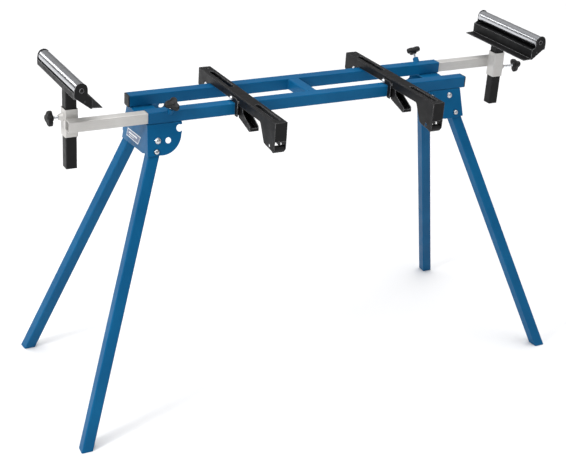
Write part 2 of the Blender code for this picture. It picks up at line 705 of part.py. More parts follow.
# ---------------------------------------------------------------- saw brackets
def channel_side():
    """Side outline of a saw bracket, in y and z: level on the rails, with a nose at each end."""
    rest = RAIL_TOP + GAP
    behind = RAIL_OUTER_Y + 0.0008
    outline = [
        (CHANNEL_REAR, CHANNEL_TOP),
        (CHANNEL_REAR, 0.7480),
        (CHANNEL_REAR - 0.006, 0.7420),
        (behind + 0.004, 0.7420),
        (behind, 0.7460),
        (behind, rest),
        (-behind, rest),
        (-behind, CHANNEL_UNDERSIDE),
        (-0.2045, CHANNEL_UNDERSIDE),
        (-0.2080, 0.7650),
        (-0.2270, 0.7300),
    ]
    outline += [(-0.2300, 0.7245), (-0.2400, 0.7215), (-0.2530, 0.7200)]
    outline += arc((-0.2730, 0.7275), 0.0100, -100, -10 - 170, 6)
    outline += [(CHANNEL_FRONT, 0.7300), (CHANNEL_FRONT, CHANNEL_TOP)]
    return outline


def make_channel(side, slide):
    name = "saw_bracket_" + side
    body = prism(channel_side(), "X", -CHANNEL_HALF, CHANNEL_HALF)
    channel = object_from(body, name, slide, finish=BLACK)
    bevel = channel.modifiers.new("bends", "BEVEL")
    bevel.width = 0.0018
    bevel.segments = 1
    bevel.limit_method = "ANGLE"
    bevel.angle_limit = math.radians(60)
    inner = CHANNEL_HALF - SHEET
    hollow = box(-inner, inner, CHANNEL_FRONT + SHEET, CHANNEL_REAR - SHEET, 0.60, CHANNEL_TOP - SHEET)
    boolean(channel, object_from(hollow, name + "_inside", slide))
    mouth = box(-inner, inner, CHANNEL_FRONT - 0.02, CHANNEL_FRONT + 0.02, 0.60, 0.7440)
    boolean(channel, object_from(mouth, name + "_mouth", slide))
    for label, low, high in (("rear", -0.020, 0.105), ("front", -0.268, -0.153)):
        slot = arc((0, high - SLOT_HALF), SLOT_HALF, 0, 180, 8)
        slot += arc((0, low + SLOT_HALF), SLOT_HALF, 180, 360, 8)
        cutter = prism(slot, "Z", CHANNEL_TOP - 0.010, CHANNEL_TOP + 0.010)
        boolean(channel, object_from(cutter, f"{name}_slot_{label}", slide))
    hole = prism(arc((0, 0.1280), 0.0033, 0, 360, 16)[:-1], "Z", CHANNEL_TOP - 0.01, CHANNEL_TOP + 0.01)
    boolean(channel, object_from(hole, name + "_rear_hole", slide))
    pins = (
        ("nose_hole", (-0.2580, 0.7280), 0.0042),
        ("bolt_hole", CLAMP_BOLT, STUD_RADIUS + GAP),
        ("pin_hole", LEVER_PIVOT, STUD_RADIUS + GAP),
    )
    for label, place, radius in pins:
        bore = turned([(radius, -0.05), (radius, 0.05)], "X", place, 16)
        boolean(channel, object_from(bore, f"{name}_{label}", slide))
    return channel


def make_barrel(side, slide):
    """A plastic spacer between the nose's two lugs."""
    reach = CHANNEL_HALF - SHEET - GAP
    outer = [(0.0085, -reach), (0.0085, reach)]
    bm = hollow_turned(outer, [(0.0032, -reach), (0.0032, reach)], "X", NOSE_BARREL, 20)
    return object_from(bm, "nose_spacer_" + side, slide, finish=PLASTIC, smooth=True)


def make_clamp_bolt(side, slide):
    reach = EAR_OUTER + GAP
    head = reach + 0.0040
    profile = [
        (0.0040, -head),
        (0.0055, -head + 0.0012),
        (0.0055, -reach),
        (STUD_RADIUS, -reach),
        (STUD_RADIUS, reach),
        (0.0055, reach),
        (0.0055, head - 0.0012),
        (0.0040, head),
    ]
    bm = turned(profile, "X", CLAMP_BOLT, 18)
    return object_from(bm, "clamp_bolt_" + side, slide, finish=ZINC, smooth=True)


def make_lever_pin(side, slide):
    reach = CHANNEL_HALF + 0.0002
    bm = turned([(STUD_RADIUS, -reach), (STUD_RADIUS, reach)], "X", LEVER_PIVOT, 16)
    return object_from(bm, "lever_pin_" + side, slide, finish=ZINC, smooth=True)


def lever_point(forward, up):
    """A point on the lever, in its own axes: forward along it, up across it, from its pivot."""
    y = LEVER_PIVOT[0] - forward * math.cos(LEVER_SLOPE) - up * math.sin(LEVER_SLOPE)
    z = LEVER_PIVOT[1] - forward * math.sin(LEVER_SLOPE) + up * math.cos(LEVER_SLOPE)
    return (y, z)


def make_lever(side, slide):
    """A folded lever whose cam presses the jaw on to the front rail. It lifts to let go."""
    pivot_y, pivot_z = LEVER_PIVOT
    outline = [lever_point(*p) for p in arc((0, 0), 0.0085, 60, 150, 4)]
    outline += [(-0.0826, 0.7655), (-0.0822, 0.7628), (-0.0842, 0.7612)]
    outline += [(-0.0850, 0.7410), (-0.0865, 0.7370), (-0.0895, 0.7352)]
    tip = ((LEVER_TIP - 0.002, -0.0288), (LEVER_TIP + 0.001, -0.0262), (LEVER_TIP, -0.0225))
    rim = ((LEVER_TIP - 0.0050, LEVER_RIM), (0.0270, LEVER_RIM + 0.0010), (0.0190, -0.0080))
    outline += [lever_point(*p) for p in tip + rim]
    outline = [(y - pivot_y, z - pivot_z) for y, z in outline]
    turning = empty("lever_axis_" + side, slide, Matrix.Translation((0, pivot_y, pivot_z)))
    body = prism(outline, "X", -LEVER_HALF, LEVER_HALF)
    lever = object_from(body, "clamp_lever_" + side, turning, finish=BLACK)
    inner = LEVER_HALF - 0.002
    corners = ((0.0150, 0.030), (LEVER_TIP - 0.0025, 0.030), (LEVER_TIP - 0.0025, -0.0262), (0.0170, -0.0352))
    trough = [(y - pivot_y, z - pivot_z) for y, z in (lever_point(*p) for p in corners)]
    boolean(lever, object_from(prism(trough, "X", -inner, inner), f"clamp_lever_{side}_inside", turning))
    bore = turned([(STUD_RADIUS + GAP, -0.05), (STUD_RADIUS + GAP, 0.05)], "X", (0, 0), 16)
    boolean(lever, object_from(bore, f"clamp_lever_{side}_bore", turning))
    return lever


def make_jaw(side, slide):
    """The clamp jaw: ears over the rail's top on the clamp bolt, and a web in front of the rail."""
    front_face = -(RAIL_OUTER_Y + GAP)
    outline = [
        (-0.0480, RAIL_TOP + 0.0005),
        (-0.0480, 0.7800),
        (-0.0510, 0.7830),
        (-0.0850, 0.7830),
        (-0.0918, 0.7770),
        (-0.0918, 0.7400),
        (-0.0905, RAIL_BOTTOM - 0.0015),
        (front_face, RAIL_BOTTOM - 0.0015),
        (front_face, RAIL_TOP + 0.0005),
    ]
    jaw = object_from(prism(outline, "X", -EAR_OUTER, EAR_OUTER), "clamp_jaw_" + side, slide, finish=BLACK)
    web = front_face - SHEET
    lead = box(-EAR_INNER, EAR_INNER, -0.20, web, 0.70, 0.82)
    boolean(jaw, object_from(lead, f"clamp_jaw_{side}_front", slide))
    over = box(-EAR_INNER, EAR_INNER, -0.20, 0.0, 0.7668, 0.82)
    boolean(jaw, object_from(over, f"clamp_jaw_{side}_over", slide))
    y, z = CLAMP_BOLT
    radius = STUD_RADIUS + GAP
    slot = arc((y, z), radius, 90, 270, 8) + arc((y + 0.003, z), radius, -90, 90, 8)
    boolean(jaw, object_from(prism(slot, "X", -0.05, 0.05), f"clamp_jaw_{side}_slot", slide))
    return jaw


def make_saw_bracket(side, parent):
    slide = empty("saw_bracket_slide_" + side, parent, Matrix.Translation((SAW_BRACKET_X[side], 0, 0)))
    make_channel(side, slide)
    make_barrel(side, slide)
    make_clamp_bolt(side, slide)
    make_lever_pin(side, slide)
    make_lever(side, slide)
    make_jaw(side, slide)


# ---------------------------------------------------------------- the whole stand
def foot_reach():
    """How far the feet's outer faces stand from the middle, along Y."""
    return RAIL_OUTER_Y + RAIL_BOTTOM * math.tan(LEAN) - (SHEET + GAP) / math.cos(LEAN)


def main():
    clear_scene()
    left_reach = max(-(leg_frame("front_left") @ point).x for point in leg_rings("front_left")[1])
    shift = ((left_reach - RIGHT_REACH) / 2, (-CHANNEL_FRONT - foot_reach()) / 2, 0)
    stand = empty("stand", matrix=Matrix.Translation(shift))
    front = make_rail("front_rail", -1, 1, stand)
    rear = make_rail("rear_rail", 1, -1, stand)
    make_rail_cap("rail_cap_front", -1, 1, stand)
    make_rail_cap("rail_cap_rear", 1, -1, stand)
    make_cross_member(stand)
    make_arm_clamp("left", front, stand)
    make_arm_clamp("right", rear, stand)
    for side in ("left", "right"):
        make_leg_bracket(side, stand)
        make_arm(side, stand)
        make_saw_bracket(side, stand)
    for name in LEGS:
        make_leg(name, stand)
        make_pivot_bolt(name, stand)


main()
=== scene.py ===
"""Looks of a folding mitre saw stand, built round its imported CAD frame: painted, plated and plastic
finishes, rounded edges, turned rollers, lobed knobs, threads, bolt heads, weld beads and a label."""

import json
import math
import random

import bmesh
import bpy
from mathutils import Matrix, Vector

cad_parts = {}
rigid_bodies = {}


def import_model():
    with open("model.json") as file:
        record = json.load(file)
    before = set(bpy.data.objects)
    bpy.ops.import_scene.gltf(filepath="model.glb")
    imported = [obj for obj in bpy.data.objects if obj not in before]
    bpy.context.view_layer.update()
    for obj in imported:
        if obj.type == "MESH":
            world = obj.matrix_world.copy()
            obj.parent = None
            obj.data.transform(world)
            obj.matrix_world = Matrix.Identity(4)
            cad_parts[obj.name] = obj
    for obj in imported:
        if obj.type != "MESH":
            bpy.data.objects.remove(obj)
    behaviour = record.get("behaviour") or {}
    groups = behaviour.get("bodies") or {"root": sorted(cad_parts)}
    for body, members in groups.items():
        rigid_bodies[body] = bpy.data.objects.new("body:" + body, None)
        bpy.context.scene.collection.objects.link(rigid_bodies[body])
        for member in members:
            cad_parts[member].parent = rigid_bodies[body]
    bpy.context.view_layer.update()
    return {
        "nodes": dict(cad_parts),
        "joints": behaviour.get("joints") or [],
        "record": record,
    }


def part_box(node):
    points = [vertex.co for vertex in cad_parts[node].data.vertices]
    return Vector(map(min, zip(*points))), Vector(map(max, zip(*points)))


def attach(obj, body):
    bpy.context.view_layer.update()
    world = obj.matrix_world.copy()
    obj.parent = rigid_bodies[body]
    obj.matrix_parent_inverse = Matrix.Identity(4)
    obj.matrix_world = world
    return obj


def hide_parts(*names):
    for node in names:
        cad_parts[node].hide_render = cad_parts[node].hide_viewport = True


SIDES = ("left", "right")
LEGS = ("front_left", "rear_left", "rear_right", "front_right")

# The camera's place is measured from the floor point under the middle of the two rails.
CAMERA_OFFSET = Vector((-1.5214, -2.6662, 1.8022))
CAMERA_AZIMUTH = math.radians(-29.268)
CAMERA_ELEVATION = math.radians(25.332)
CAMERA_ROLL = math.radians(3.900)
CAMERA_LENS = 80.37
SENSOR_WIDTH = 36.0

# The sky's brightness at each height, from the horizon at 0 to straight up at 1.
SKY_STRENGTH = 2.9
SKY_STOPS = ((0.0, 0.050), (0.20, 0.080), (0.45, 0.140), (0.72, 0.190), (0.90, 1.0), (1.0, 1.0))
FLOOR_HALF = 60.0
FLOOR_DROP = 0.0005  # keeps the floor just under the feet
LIGHTS = {
    "key": {"place": (-3.6, -1.0, 2.3), "target": (0, 0, 0.5), "size": (0.9, 0.9), "power": 85},
    "back_strip": {"place": (-2.2, 4.3, 2.3), "target": (0, 0, 0.85), "size": (2.0, 0.45), "power": 12},
}

# Each knob's body. The knob's and stud's nodes have the key in their names.
KNOB_BODIES = {"height": "height_knob", "arm_clamp": "arm_clamp_knob"}
KNOB_DEPTH = 0.012
KNOB_WAIST = 0.58  # radius between the lobes, as a share of the lobes' radius
THREAD_PITCH = 0.001
THREAD_DEPTH = 0.00045

ROLLER_CHAMFER = 0.0006
AXLE_COLLAR_RADIUS = 0.0056
AXLE_DOME_RADIUS = 0.0050
RIVET_RADIUS = 0.0022
RIVET_INWARD = 0.0080  # from the axle toward the middle of the stand
RIVET_DROP = 0.0270  # from the axle down

DOME_END = math.radians(80)  # a dome's profile stops short of its top
PIVOT_NUT_HEIGHT = 0.0048
CLAMP_BOLT_RADIUS = 0.0029
CLAMP_HEAD_HEIGHT = 0.0040
REAR_BOLT_RADIUS = 0.0030
REAR_BOLT_BEHIND = 0.0195  # from the rear rail's back
REAR_BOLT_UP = 0.022  # from the rear rail's underside

WELD_STEP = 0.0022  # spacing of the ripples on a weld bead
WELD_END_INSET = 0.002
WELD_SINK = 0.0008  # how far the cross member's upper and lower beads lie inside its corners
STITCH_STARTS = (0.022, 0.040)  # from the leg bracket's outer end
STITCH_LENGTH = 0.012
NUT_WELD_RING = 0.0086
NUT_WELD_BEADS = 22
NUT_WELD_BEAD = 0.0015

# The label's corners from upper left round to lower left, as Y from the rails' middle and Z.
LABEL_OUTLINE = ((0.0580, 0.6855), (-0.0400, 0.6960), (-0.0240, 0.6715), (0.0640, 0.6640))


# ---------------------------------------------------------------- scene, frame and camera
for leftover in list(bpy.data.objects):
    bpy.data.objects.remove(leftover, do_unlink=True)

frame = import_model()
nodes = frame["nodes"]
joints = {joint["name"]: joint for joint in frame["joints"]}
slot_of = {part["node"]: part["material_slot"] for part in frame["record"]["subparts"]}


def rail_middle():
    """The floor point under the middle of the rail frame."""
    front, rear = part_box("front_rail"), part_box("rear_rail")
    x = (min(front[0].x, rear[0].x) + max(front[1].x, rear[1].x)) / 2
    y = (min(front[0].y, rear[0].y) + max(front[1].y, rear[1].y)) / 2
    return Vector((x, y, 0.0))


def make_camera():
    azimuth, elevation, roll = CAMERA_AZIMUTH, CAMERA_ELEVATION, CAMERA_ROLL
    back = Vector((math.sin(azimuth), -math.cos(azimuth), 0.0)) * math.cos(elevation)
    back.z = math.sin(elevation)
    right = (-back).cross(Vector((0, 0, 1))).normalized()
    up = back.cross(right)
    turned_right = right * math.cos(roll) + up * math.sin(roll)
    turned_up = up * math.cos(roll) - right * math.sin(roll)
    data = bpy.data.cameras.new("camera")
    data.lens = CAMERA_LENS
    data.sensor_width = SENSOR_WIDTH
    data.sensor_fit = "HORIZONTAL"
    data.clip_end = 200.0
    camera = bpy.data.objects.new("camera", data)
    bpy.context.scene.collection.objects.link(camera)
    matrix = Matrix((turned_right, turned_up, back)).transposed().to_4x4()
    matrix.translation = rail_middle() + CAMERA_OFFSET
    camera.matrix_world = matrix
    bpy.context.scene.camera = camera


# ---------------------------------------------------------------- node helpers
class Finish:
    """A Principled material and the few node patterns that the finishes share."""

    def __init__(self, name, roughness, metallic=0.0):
        self.material = bpy.data.materials.new(name)
        self.material.use_nodes = True
        self.tree = self.material.node_tree
        self.shader = self.tree.nodes["Principled BSDF"]
        self.shader.inputs["Roughness"].default_value = roughness
        self.shader.inputs["Metallic"].default_value = metallic
        self.place = self.tree.nodes.new("ShaderNodeTexCoord").outputs["Object"]

    def node(self, kind, **settings):
        node = self.tree.nodes.new(kind)
        for name, value in settings.items():
            setattr(node, name, value)
        return node

    def link(self, source, target):
        self.tree.links.new(source, target)

    def noise(self, scale, detail=3.0, rough=0.55, stretch=(1, 1, 1)):
        """A noise value of the given scale per metre, drawn out by stretch."""
        mapping = self.node("ShaderNodeMapping")
        mapping.inputs["Scale"].default_value = stretch
        self.link(self.place, mapping.inputs["Vector"])
        noise = self.node("ShaderNodeTexNoise")
        noise.inputs["Scale"].default_value = scale
        noise.inputs["Detail"].default_value = detail
        noise.inputs["Roughness"].default_value = rough
        self.link(mapping.outputs["Vector"], noise.inputs["Vector"])
        return noise.outputs["Fac"]

    def levels(self, value, low, high, out_low=0.0, out_high=1.0):
        """value's stretch from low to high, remapped and held to the range out_low to out_high."""
        remap = self.node("ShaderNodeMapRange")
        for name, number in (
            ("From Min", low),
            ("From Max", high),
            ("To Min", out_low),
            ("To Max", out_high),
        ):
            remap.inputs[name].default_value = number
        self.link(value, remap.inputs["Value"])
        return remap.outputs["Result"]

    def blend(self, factor, first, second):
        """Two colours mixed by factor. Either may be a socket or an RGB triple."""
        mix = self.node("ShaderNodeMix", data_type="RGBA")
        self.link(factor, mix.inputs[0])
        for socket, color in ((mix.inputs[6], first), (mix.inputs[7], second)):
            if isinstance(color, tuple):
                socket.default_value = (*color, 1.0)
            else:
                self.link(color, socket)
        return mix.outputs[2]

    def product(self, first, second):
        times = self.node("ShaderNodeMath", operation="MULTIPLY")
        self.link(first, times.inputs[0])
        self.link(second, times.inputs[1])
        return times.outputs[0]

    def edges(self, radius):
        """1 within about radius of a sharp edge, 0 on flat faces."""
        bevel = self.node("ShaderNodeBevel", samples=4)
        bevel.inputs["Radius"].default_value = radius
        normal = self.node("ShaderNodeNewGeometry").outputs["Normal"]
        dot = self.node("ShaderNodeVectorMath", operation="DOT_PRODUCT")
        self.link(bevel.outputs["Normal"], dot.inputs[0])
        self.link(normal, dot.inputs[1])
        return self.levels(dot.outputs["Value"], 0.995, 0.86)

    def color(self, socket):
        self.link(socket, self.shader.inputs["Base Color"])

    def roughness(self, socket):
        self.link(socket, self.shader.inputs["Roughness"])

    def bump(self, height, distance, strength=1.0):
        bump = self.node("ShaderNodeBump")
        bump.inputs["Distance"].default_value = distance
        bump.inputs["Strength"].default_value = strength
        self.link(height, bump.inputs["Height"])
        self.link(bump.outputs["Normal"], self.shader.inputs["Normal"])


# ---------------------------------------------------------------- finishes
def blue_paint():
    """Satin powder coat with orange peel, a painted highlight of paler blue along the edges, and a few
    faint scuffs.
    """
    finish = Finish("blue_powder_coat", 0.38)
    cloud = finish.levels(finish.noise(7.0), 0.3, 0.7)
    base = finish.blend(cloud, (0.0025, 0.078, 0.194), (0.0040, 0.101, 0.236))
    scuff = finish.levels(finish.noise(55.0, 5.0, 0.7, (0.25, 1.0, 0.6)), 0.68, 0.82, 0.0, 0.30)
    scuffed = finish.blend(scuff, base, (0.045, 0.190, 0.350))
    # Painted highlight: lighter blue along the edges stands in for light caught on the rounded folds.
    painted_edge_highlight_and_wear = finish.product(finish.edges(0.0012), finish.levels(finish.noise(90.0), 0.35, 0.65, 0.2, 0.8))
    finish.color(finish.blend(painted_edge_highlight_and_wear, scuffed, (0.075, 0.270, 0.480)))
    finish.roughness(finish.levels(finish.noise(30.0, 4.0), 0.3, 0.7, 0.30, 0.44))
    finish.bump(finish.noise(850.0, 2.0), 0.00004, 0.5)
    finish.shader.inputs["Specular IOR Level"].default_value = 0.09
    return finish.material


def black_paint():
    """Satin black paint on folded sheet, a painted highlight of grey along the folds, and fine dust."""
    finish = Finish("black_paint", 0.46)
    cloud = finish.levels(finish.noise(12.0), 0.3, 0.7)
    base = finish.blend(cloud, (0.0036, 0.0036, 0.0039), (0.0062, 0.0062, 0.0066))
    dust = finish.levels(finish.noise(420.0, 4.0, 0.7), 0.68, 0.80, 0.0, 0.25)
    dusty = finish.blend(dust, base, (0.040, 0.040, 0.042))
    # Painted highlight: grey along the edges stands in for light caught on the rounded bends of the
    # sheet.
    painted_edge_highlight_and_wear = finish.product(finish.edges(0.0013), finish.levels(finish.noise(110.0), 0.35, 0.65, 0.4, 1.0))
    finish.color(finish.blend(painted_edge_highlight_and_wear, dusty, (0.48, 0.48, 0.49)))
    finish.roughness(finish.levels(finish.noise(45.0, 4.0), 0.3, 0.7, 0.38, 0.54))
    finish.bump(finish.noise(1100.0, 2.0), 0.00003, 0.6)
    finish.shader.inputs["Specular IOR Level"].default_value = 0.18
    return finish.material


def silver_paint():
    """Satin light grey coat on the arms and sleeves, with faint drawing lines and rub marks."""
    finish = Finish("silver_paint", 0.40, 0.25)
    cloud = finish.levels(finish.noise(14.0, 4.0), 0.3, 0.7)
    base = finish.blend(cloud, (0.475, 0.463, 0.443), (0.560, 0.548, 0.527))
    lines = finish.levels(finish.noise(70.0, 3.0, 0.6, (0.06, 9.0, 9.0)), 0.35, 0.75, 0.0, 0.45)
    lined = finish.blend(lines, base, (0.61, 0.60, 0.58))
    rub = finish.levels(finish.noise(60.0, 5.0, 0.7, (0.2, 1.0, 1.0)), 0.62, 0.78, 0.0, 0.5)
    finish.color(finish.blend(rub, lined, (0.36, 0.35, 0.33)))
    finish.roughness(finish.levels(finish.noise(38.0, 4.0), 0.3, 0.7, 0.32, 0.48))
    finish.bump(finish.noise(600.0, 2.0, 0.5, (0.1, 1.0, 1.0)), 0.00003, 0.5)
    finish.shader.inputs["Specular IOR Level"].default_value = 0.3
    return finish.material


def roller_steel():
    """Bright turned steel: fine rings round the roller and a few dull bands."""
    finish = Finish("turned_steel", 0.16, 1.0)
    rings = finish.noise(60.0, 3.0, 0.6, (0.4, 40.0, 0.4))
    tone = finish.levels(rings, 0.3, 0.7)
    base = finish.blend(tone, (0.50, 0.51, 0.53), (0.64, 0.65, 0.67))
    band = finish.levels(finish.noise(5.0, 2.0, 0.5, (0.3, 6.0, 0.3)), 0.55, 0.72, 0.0, 0.4)
    finish.color(finish.blend(band, base, (0.42, 0.43, 0.45)))
    finish.roughness(finish.levels(finish.noise(9.0, 4.0, 0.6, (0.5, 8.0, 0.5)), 0.3, 0.7, 0.14, 0.24))
    finish.bump(rings, 0.00002, 0.4)
    return finish.material


def zinc():
    """Bright zinc plate with cloudy spangle."""
    finish = Finish("zinc_plate", 0.28, 1.0)
    cloud = finish.levels(finish.noise(240.0, 3.0), 0.3, 0.7)
    finish.color(finish.blend(cloud, (0.55, 0.57, 0.60), (0.80, 0.81, 0.82)))
    finish.roughness(finish.levels(finish.noise(320.0, 3.0), 0.3, 0.7, 0.20, 0.38))
    finish.bump(finish.noise(1500.0, 2.0), 0.00002, 0.4)
    return finish.material


def black_plastic():
    """Moulded black plastic with a fine spark-eroded grain."""
    finish = Finish("black_plastic", 0.5)
    cloud = finish.levels(finish.noise(60.0), 0.3, 0.7)
    base = finish.blend(cloud, (0.0045, 0.0045, 0.0048), (0.0085, 0.0085, 0.0090))
    painted_edge_highlight_and_wear = finish.product(finish.edges(0.0009), finish.levels(finish.noise(160.0), 0.4, 0.7, 0.0, 0.4))
    finish.color(finish.blend(painted_edge_highlight_and_wear, base, (0.06, 0.06, 0.06)))
    finish.roughness(finish.levels(finish.noise(200.0, 3.0), 0.3, 0.7, 0.42, 0.60))
    finish.bump(finish.noise(2200.0, 3.0, 0.7), 0.00008, 0.5)
    finish.shader.inputs["Specular IOR Level"].default_value = 0.3
    return finish.material


def label_ink(name, dark, light):
    """Printed film: a flat ink with a slight mottle and a soft gloss."""
    finish = Finish(name, 0.3)
    finish.color(finish.blend(finish.levels(finish.noise(300.0, 4.0), 0.35, 0.65), dark, light))
    finish.roughness(finish.levels(finish.noise(120.0), 0.3, 0.7, 0.22, 0.36))
    finish.shader.inputs["Coat Weight"].default_value = 0.3
    return finish.material


def floor_material():
    """Matt white floor with broad, faint clouds."""
    finish = Finish("studio_floor", 0.7)
    cloud = finish.levels(finish.noise(0.8), 0.3, 0.7)
    finish.color(finish.blend(cloud, (0.79, 0.79, 0.79), (0.82, 0.82, 0.82)))
    finish.roughness(finish.levels(finish.noise(4.0), 0.3, 0.7, 0.62, 0.76))
    return finish.material


FINISHES = {
    "blue_paint": blue_paint(),
    "black_paint": black_paint(),
    "silver_paint": silver_paint(),
    "roller_steel": roller_steel(),
    "zinc": zinc(),
    "black_plastic": black_plastic(),
}
LABEL_BLUE = label_ink("label_blue", (0.008, 0.045, 0.150), (0.012, 0.060, 0.185))
LABEL_WHITE = label_ink("label_white", (0.66, 0.70, 0.74), (0.80, 0.83, 0.86))


# ---------------------------------------------------------------- geometry helpers
def axis_place(origin, axis):
    """A frame at origin whose Z lies along axis."""
    z = Vector(axis).normalized()
    helper = Vector((1, 0, 0)) if abs(z.x) < 0.9 else Vector((0, 1, 0))
    x = helper.cross(z).normalized()
    matrix = Matrix((x, z.cross(x), z)).transposed().to_4x4()
    matrix.translation = Vector(origin)
    return matrix


def joint_place(name, outward_z=False):
    """A frame on a hinge's axis. outward_z turns an axis that points down to point up."""
    joint = joints[name]
    axis = Vector(joint["axis"])
    if outward_z and axis.z < 0:
        axis = -axis
    return axis_place(joint["pos_m"], axis)


def corners_in(node, place):
    """A CAD node's mesh points, in place's own axes."""
    local = place.inverted()
    return [local @ vertex.co for vertex in nodes[node].data.vertices]


def lathe(bm, place, profile, segments=48, shape=None, loop=False):
    """Turns (radius, height) pairs about place's Z. shape(angle) scales the radius.

    The ends are capped, or with loop the last pair joins the first, which leaves a bore.
    """
    rings = []
    for radius, height in profile:
        ring = []
        for i in range(segments):
            angle = 2 * math.pi * i / segments
            reach = radius * (shape(angle) if shape else 1.0)
            point = Vector((reach * math.cos(angle), reach * math.sin(angle), height))
            ring.append(bm.verts.new(place @ point))
        rings.append(ring)
    pairs = list(zip(rings, rings[1:]))
    if loop:
        pairs.append((rings[-1], rings[0]))
    for first, second in pairs:
        for i in range(segments):
            j = (i + 1) % segments
            bm.faces.new((first[i], first[j], second[j], second[i]))
    if not loop:
        bm.faces.new(rings[0][::-1])
        bm.faces.new(rings[-1])


def hexagon(angle):
    """Radius of a hexagon whose corners are at 1."""
    return math.cos(math.pi / 6) / math.cos(angle % (math.pi / 3) - math.pi / 6)


def cross_recess(angle):
    """Radius of a cross with four rounded arms that reach 1."""
    return 0.42 + 0.58 * abs(math.cos(2 * angle)) ** 3


def dome(radius, low, height, steps=6):
    """Profile of a dome: from its rim at low to near its top."""
    pairs = []
    for i in range(steps + 1):
        angle = DOME_END * i / steps
        pairs.append((radius * math.cos(angle), low + height * math.sin(angle) / math.sin(DOME_END)))
    return pairs


def piece(name, bm, body, slot, stands_for=(), material=None, sharp=38):
    """A finished mesh that rides on a body, takes a slot's finish and may stand for CAD nodes."""
    bmesh.ops.recalc_face_normals(bm, faces=bm.faces)
    mesh = bpy.data.meshes.new(name)
    bm.to_mesh(mesh)
    bm.free()
    mesh.shade_smooth()
    mesh.set_sharp_from_angle(angle=math.radians(sharp))
    mesh.materials.append(material or FINISHES[slot])
    obj = bpy.data.objects.new(name, mesh)
    bpy.context.scene.collection.objects.link(obj)
    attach(obj, body)
    if stands_for:
        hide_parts(*stands_for)
    return obj


def weld(bm, start, end, radius, seed):
    """A weld bead from start to end: overlapping ripples of slightly uneven size."""
    rng = random.Random(seed)
    start, end = Vector(start), Vector(end)
    length = (end - start).length
    count = max(4, round(length / WELD_STEP))
    place = axis_place(start, end - start)
    profile = []
    for i in range(count):
        size = radius * rng.uniform(0.86, 1.12)
        low = length * i / count
        step = length / count
        taper = 0.55 if i in (0, count - 1) else 1.0
        profile += [(size * 0.80 * taper, low), (size * taper, low + step * 0.45)]
    profile.append((profile[-1][0] * 0.5, length))
    lathe(bm, place, profile, 10)


# ---------------------------------------------------------------- CAD nodes that stay
EDGE_ROUNDING = {
    "blue_paint": 0.0005,
    "black_paint": 0.0005,
    "silver_paint": 0.0003,
    "roller_steel": 0.0004,
    "zinc": 0.0003,
    "black_plastic": 0.0005,
}
SAME_POINT = 0.000005
FLAT_ANGLE = math.radians(0.6)  # faces that meet at less than this become one
EDGE_ANGLE = math.radians(42)  # edges that turn less than this stay as they are


def finish_node(node):
    """Gives a CAD node its finish, and rounds its edges with modifiers that leave its mesh as it is."""
    obj = nodes[node]
    slot = slot_of[node]
    obj.data.materials.clear()
    obj.data.materials.append(FINISHES[slot])
    for polygon in obj.data.polygons:
        polygon.use_smooth = True
    if "custom_normal" in obj.data.attributes:
        obj.data.attributes.remove(obj.data.attributes["custom_normal"])
    weld_points = obj.modifiers.new("weld", "WELD")
    weld_points.merge_threshold = SAME_POINT
    flats = obj.modifiers.new("flats", "DECIMATE")
    flats.decimate_type = "DISSOLVE"
    flats.angle_limit = FLAT_ANGLE
    edges = obj.modifiers.new("edges", "BEVEL")
    edges.width = EDGE_ROUNDING[slot]
    edges.segments = 2
    edges.limit_method = "ANGLE"
    edges.angle_limit = EDGE_ANGLE
    edges.use_clamp_overlap = False
    edges.miter_outer = "MITER_ARC"
    shading = obj.modifiers.new("shading", "WEIGHTED_NORMAL")
    shading.weight = 60
    shading.keep_sharp = True


# ---------------------------------------------------------------- knobs and studs
def make_knob(label, side):
    """A three-lobed knob: rounded rim, dished top with a round insert, and a hub under it."""
    name = f"knob_{label}_{side}"
    body = f"{KNOB_BODIES[label]}_{side}"
    place = joint_place(f"{body}_turn")
    points = corners_in(name, place)
    tip = max(points, key=lambda point: point.xy.length)
    high = max(point.z for point in points)
    low = min(point.z for point in points)
    near = high - KNOB_DEPTH
    reach = tip.xy.length
    turn = math.atan2(tip.y, tip.x)

    def lobes(angle):
        lobe = 0.5 + 0.5 * math.cos(3 * (angle - turn))
        return KNOB_WAIST + (1 - KNOB_WAIST) * lobe

    rim = [
        (0.84, near),
        (0.93, near + 0.0004),
        (0.98, near + 0.0014),
        (1.00, near + 0.0032),
        (1.00, near + 0.0080),
        (0.975, near + 0.0098),
        (0.92, near + 0.0112),
        (0.84, high - 0.0001),
        (0.74, high - 0.0002),
        (0.66, high - 0.0010),
        (0.30, high - 0.0014),
    ]
    bm = bmesh.new()
    lathe(bm, place, [(share * reach, height) for share, height in rim], 96, lobes)
    insert = [
        (0.0056, high - 0.0030),
        (0.0056, high - 0.0008),
        (0.0048, high - 0.0002),
        (0.0020, high - 0.0002),
    ]
    lathe(bm, place, insert, 40)
    hub = [(0.0066, low), (0.0075, low + 0.0006), (0.0078, near - 0.0008), (0.0090, near + 0.0006)]
    lathe(bm, place, hub, 40)
    piece(f"star_{name}", bm, body, "black_plastic", (name,))
    return name


def make_stud(label, side):
    """A threaded stud: chamfered tip and a ridge for each turn of its thread."""
    name = f"stud_{label}_{side}"
    body = f"{KNOB_BODIES[label]}_{side}"
    place = joint_place(f"{body}_turn")
    points = corners_in(name, place)
    low = min(point.z for point in points)
    high = max(point.z for point in points)
    radius = max(point.xy.length for point in points)
    root = radius - THREAD_DEPTH
    profile = [(root * 0.75, low), (root, low + 0.0006)]
    turns = int((high - low - 0.001) / THREAD_PITCH)
    for i in range(turns):
        height = low + 0.0008 + i * THREAD_PITCH
        crest = (height + 0.38 * THREAD_PITCH, height + 0.56 * THREAD_PITCH)
        profile += [(root, height), (radius, crest[0]), (radius, crest[1])]
    profile.append((root, high))
    bm = bmesh.new()
    lathe(bm, place, profile, 28)
    piece(f"threaded_{name}", bm, body, "zinc", (name,), sharp=60)
    return name


